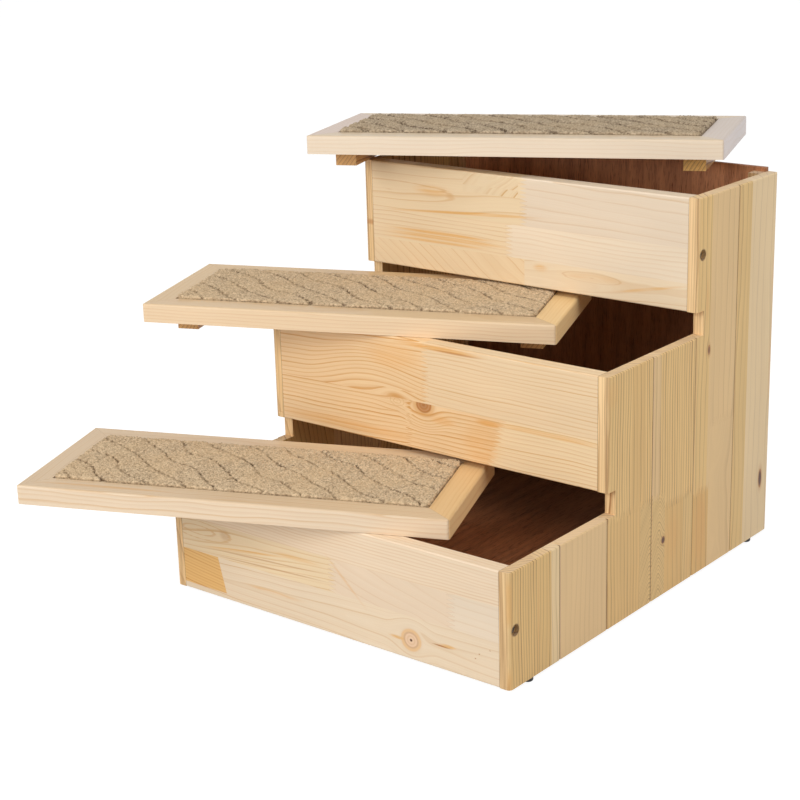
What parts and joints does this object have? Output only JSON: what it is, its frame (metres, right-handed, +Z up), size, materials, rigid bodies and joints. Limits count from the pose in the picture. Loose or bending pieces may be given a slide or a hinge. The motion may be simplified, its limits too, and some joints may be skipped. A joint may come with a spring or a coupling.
{
  "type": "pet stairs",
  "caption": "Stepped wooden box that a small pet climbs, with loose carpeted treads as lids over the storage space inside.",
  "frame": {"origin": "middle of the carcass's underside, which is the floor panel's lower face", "axes": "+X to the right seen from the front, +Y from the front step towards the back, +Z up"},
  "size_m": [0.5267, 0.6373, 0.4034],
  "materials": {
    "pine": "clear matt lacquer",
    "side_pine": "clear matt lacquer",
    "batten_pine": "planed",
    "brown_plywood": "planed",
    "base_plywood": "sanded",
    "carpet": "loop pile",
    "steel": "zinc plated",
    "beech": "plain",
    "black_plastic": "moulded"
  },
  "bodies": {
    "carcass": {"right_board_1": "side_pine", "right_board_2": "side_pine", "right_board_3": "side_pine", "right_board_4": "side_pine", "right_board_5": "side_pine", "right_board_6": "side_pine", "left_board_1": "side_pine", "left_board_2": "side_pine", "left_board_3": "side_pine", "left_board_4": "side_pine", "left_board_5": "side_pine", "left_board_6": "side_pine", "riser_1": "pine", "riser_2": "pine", "riser_3": "pine", "back_panel": "brown_plywood", "floor_panel": "brown_plywood", "rear_batten_right": "batten_pine", "rear_batten_left": "batten_pine", "floor_batten_right": "batten_pine", "floor_batten_left": "batten_pine", "side_screws": "steel", "back_screws": "steel", "floor_screws": "steel", "riser_dowels": "beech", "glides": "black_plastic"},
    "tread_1": {"tread_1_front_rail": "pine", "tread_1_back_rail": "pine", "tread_1_left_rail": "pine", "tread_1_right_rail": "pine", "tread_1_base": "base_plywood", "tread_1_carpet": "carpet", "tread_1_batten_left": "batten_pine", "tread_1_batten_right": "batten_pine", "tread_1_screws": "steel"},
    "tread_2": {"tread_2_front_rail": "pine", "tread_2_back_rail": "pine", "tread_2_left_rail": "pine", "tread_2_right_rail": "pine", "tread_2_base": "base_plywood", "tread_2_carpet": "carpet", "tread_2_batten_left": "batten_pine", "tread_2_batten_right": "batten_pine", "tread_2_screws": "steel"},
    "tread_3": {"tread_3_front_rail": "pine", "tread_3_back_rail": "pine", "tread_3_left_rail": "pine", "tread_3_right_rail": "pine", "tread_3_base": "base_plywood", "tread_3_carpet": "carpet", "tread_3_batten_left": "batten_pine", "tread_3_batten_right": "batten_pine", "tread_3_screws": "steel"}
  },
  "joints": [
    {"name": "tread_1_tip", "type": "hinge", "parent": "carcass", "child": "tread_1", "pos_m": [0, -0.073, 0.127], "axis": [-1, 0, 0], "range_deg": [0, 45]},
    {"name": "tread_2_tip", "type": "hinge", "parent": "carcass", "child": "tread_2", "pos_m": [0, 0.073, 0.254], "axis": [-1, 0, 0], "range_deg": [0, 55]},
    {"name": "tread_3_lift", "type": "slide", "parent": "carcass", "child": "tread_3", "axis": [0, 0, 1], "range_m": [0, 0.15]}
  ]
}
